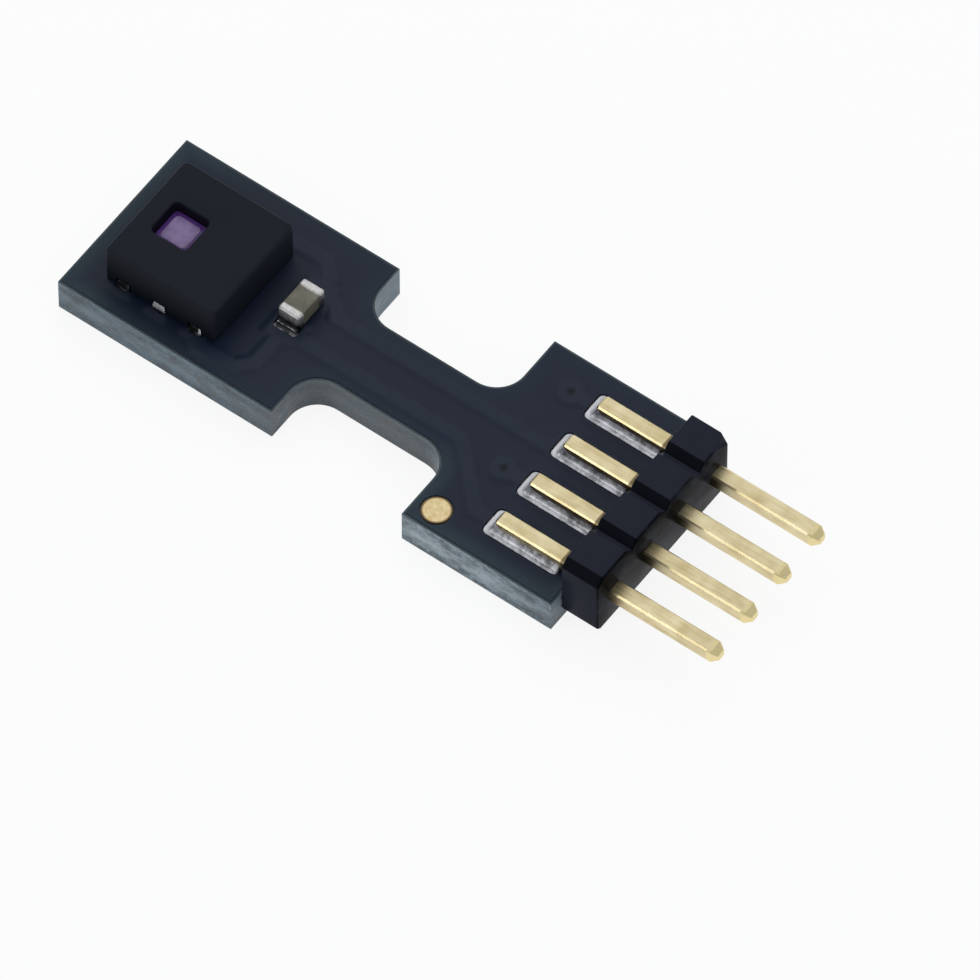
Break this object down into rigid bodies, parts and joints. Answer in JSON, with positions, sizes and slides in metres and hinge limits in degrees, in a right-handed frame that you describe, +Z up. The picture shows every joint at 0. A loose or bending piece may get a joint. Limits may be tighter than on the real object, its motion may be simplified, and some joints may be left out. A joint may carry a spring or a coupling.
{
  "type": "temperature humidity sensor module",
  "caption": "Slim dumbbell-shaped circuit board with an open-window humidity and temperature sensor on its head, a narrow neck, and a row of square header pins lying flat on its foot.",
  "frame": {"origin": "centre of the board's underside, halfway along the board and on the board's centre line", "axes": "+X along the board from the sensor's head to the pin tips, +Y to the board's far long edge, +Z up out of the component side"},
  "size_m": [0.0179, 0.0058, 0.0022],
  "materials": {
    "laminate": "routed glass-fibre laminate",
    "solder_mask": "satin blue-black solder mask",
    "plated_pad": "gold-plated copper",
    "copper": "copper under the mask, plated at the pads",
    "header_plastic": "satin black moulding",
    "plated_pin": "gold-plated square wire",
    "solder": "bright tin solder",
    "moulding": "fine matt moulding compound",
    "lead_frame": "plated copper alloy",
    "silicon": "polished violet silicon",
    "film": "thin lilac polymer film",
    "ceramic": "fired grey-brown ceramic",
    "terminal": "tin-plated cap"
  },
  "bodies": {
    "root": {"board_laminate": "laminate", "bottom_solder_mask": "solder_mask", "capacitor_body": "ceramic", "capacitor_solder_1": "solder", "capacitor_solder_2": "solder", "capacitor_terminal_1": "terminal", "capacitor_terminal_2": "terminal", "clock_copper": "copper", "clock_copper_under": "copper", "clock_sensor_copper": "copper", "data_copper": "copper", "data_copper_under": "copper", "data_sensor_copper": "copper", "die_paddle": "lead_frame", "ground_copper": "copper", "header_housing": "header_plastic", "header_pin_1": "plated_pin", "header_pin_2": "plated_pin", "header_pin_3": "plated_pin", "header_pin_4": "plated_pin", "header_solder_1": "solder", "header_solder_2": "solder", "header_solder_3": "solder", "header_solder_4": "solder", "sensing_film": "film", "sensor_body": "moulding", "sensor_die": "silicon", "sensor_lead_1": "lead_frame", "sensor_lead_2": "lead_frame", "sensor_lead_3": "lead_frame", "sensor_lead_4": "lead_frame", "sensor_lead_5": "lead_frame", "sensor_lead_6": "lead_frame", "sensor_solder_1": "solder", "sensor_solder_2": "solder", "sensor_solder_3": "solder", "sensor_solder_4": "solder", "sensor_solder_5": "solder", "sensor_solder_6": "solder", "spare_pad_1": "copper", "spare_pad_2": "copper", "supply_copper": "copper", "test_pad": "plated_pad", "top_solder_mask": "solder_mask"}
  },
  "joints": []
}
